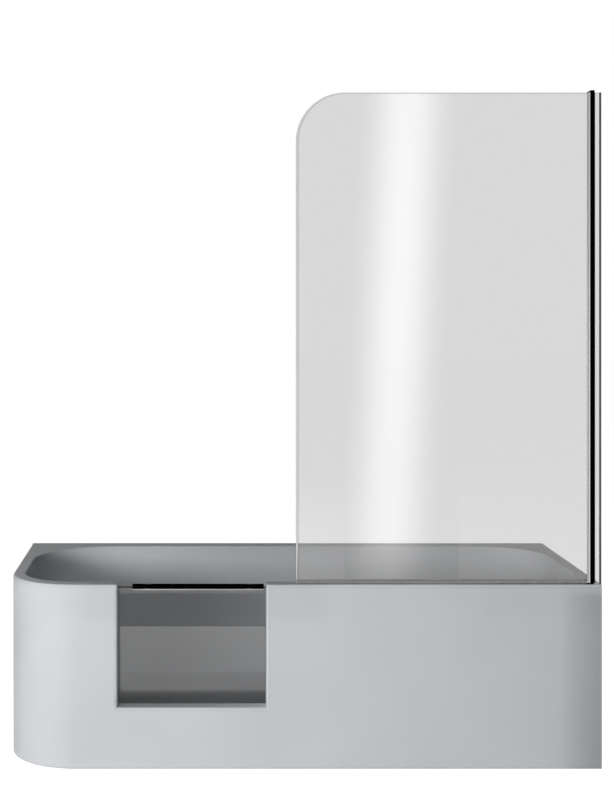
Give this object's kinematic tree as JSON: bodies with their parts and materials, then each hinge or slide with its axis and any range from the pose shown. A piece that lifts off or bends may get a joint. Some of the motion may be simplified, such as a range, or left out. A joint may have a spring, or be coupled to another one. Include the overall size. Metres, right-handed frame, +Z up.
{
  "type": "shower bath",
  "caption": "Low bath with one rounded corner, a glass door in its front wall and a swinging glass screen on a slim post, on a steel underframe.",
  "frame": {"origin": "middle of the footprint, on the floor", "axes": "+X to the right along the bath's length as seen from the front, +Y to the back, towards the room's wall, +Z up"},
  "size_m": [1.7, 0.75, 1.9413],
  "materials": {
    "body": "satin pale grey, seamless",
    "board": "raw panel",
    "frame_steel": "zinc plated",
    "rubber": "matt",
    "chrome": "polished",
    "pipe_plastic": "moulded",
    "cable_sleeve": "sheathed",
    "clear_seal": "clear soft profile",
    "aluminium": "satin anodised",
    "black_metal": "black satin",
    "door_glass": "clear, toughened",
    "screen_glass": "clear, toughened"
  },
  "bodies": {
    "bath": {"bath_shell": "body", "apron_panel": "body", "base_board": "board", "long_rail_front": "frame_steel", "long_rail_back": "frame_steel", "cross_rail_1": "frame_steel", "cross_rail_2": "frame_steel", "cross_rail_3": "frame_steel", "foot_pad_front_1": "rubber", "foot_stud_front_1": "frame_steel", "foot_pad_front_2": "rubber", "foot_stud_front_2": "frame_steel", "foot_pad_front_3": "rubber", "foot_stud_front_3": "frame_steel", "foot_pad_back_1": "rubber", "foot_stud_back_1": "frame_steel", "foot_pad_back_2": "rubber", "foot_stud_back_2": "frame_steel", "foot_pad_back_3": "rubber", "foot_stud_back_3": "frame_steel", "panel_clip_1": "frame_steel", "panel_clip_2": "frame_steel", "panel_clip_3": "frame_steel", "panel_clip_4": "frame_steel", "panel_clip_5": "frame_steel", "wall_clip_1": "frame_steel", "wall_clip_2": "frame_steel", "waste_flange": "chrome", "waste_gasket": "rubber", "waste_trap": "pipe_plastic", "waste_outlet": "pipe_plastic", "overflow_rosette": "chrome", "overflow_gasket": "rubber", "overflow_body": "pipe_plastic", "overflow_pipe": "pipe_plastic", "plug_cable": "cable_sleeve", "door_seal": "rubber", "door_hinge_rail": "aluminium", "door_hinge_pin_bottom": "chrome", "door_hinge_pin_top": "chrome", "latch_keeper": "chrome", "pivot_post": "black_metal", "fixed_strip": "screen_glass", "wall_channel": "black_metal"},
    "door": {"door_glass": "door_glass", "door_hinge_leaf_bottom": "aluminium", "door_hinge_leaf_top": "aluminium", "latch_rail": "aluminium", "latch_carrier_1": "black_metal", "latch_carrier_2": "black_metal"},
    "latch": {"latch_bar": "black_metal"},
    "bolt": {"latch_bolt": "chrome"},
    "screen": {"screen_clamp": "aluminium", "screen_arm_bottom": "black_metal", "screen_arm_top": "black_metal", "screen_glass": "screen_glass", "screen_wiper": "clear_seal"},
    "knob": {"overflow_knob": "chrome"},
    "plug": {"waste_plug": "chrome"}
  },
  "joints": [
    {"name": "door_hinge", "type": "hinge", "parent": "bath", "child": "door", "pos_m": [-0.556, -0.311, 0.338], "axis": [0, 0, 1], "range_deg": [0, 90]},
    {"name": "latch_turn", "type": "hinge", "parent": "door", "child": "latch", "pos_m": [-0.3015, -0.337, 0.517], "axis": [1, 0, 0], "range_deg": [0, 90]},
    {"name": "bolt_slide", "type": "slide", "parent": "door", "child": "bolt", "axis": [1, 0, 0], "range_m": [0, 0.012]},
    {"name": "screen_hinge", "type": "hinge", "parent": "bath", "child": "screen", "pos_m": [0.82555, -0.364, 1.23], "axis": [0, 0, 1], "range_deg": [-50, 90]},
    {"name": "knob_turn", "type": "hinge", "parent": "bath", "child": "knob", "pos_m": [0.8, -0.0325, 0.433], "axis": [1, 0, 0], "range_deg": [0, 90]},
    {"name": "plug_lift", "type": "slide", "parent": "bath", "child": "plug", "axis": [0, 0, 1], "range_m": [0, 0.012]}
  ],
  "couplings": [
    {"joint": "bolt_slide", "follows": "latch_turn", "m_per_rad": 0.007639},
    {"joint": "plug_lift", "follows": "knob_turn", "m_per_rad": 0.007639}
  ]
}
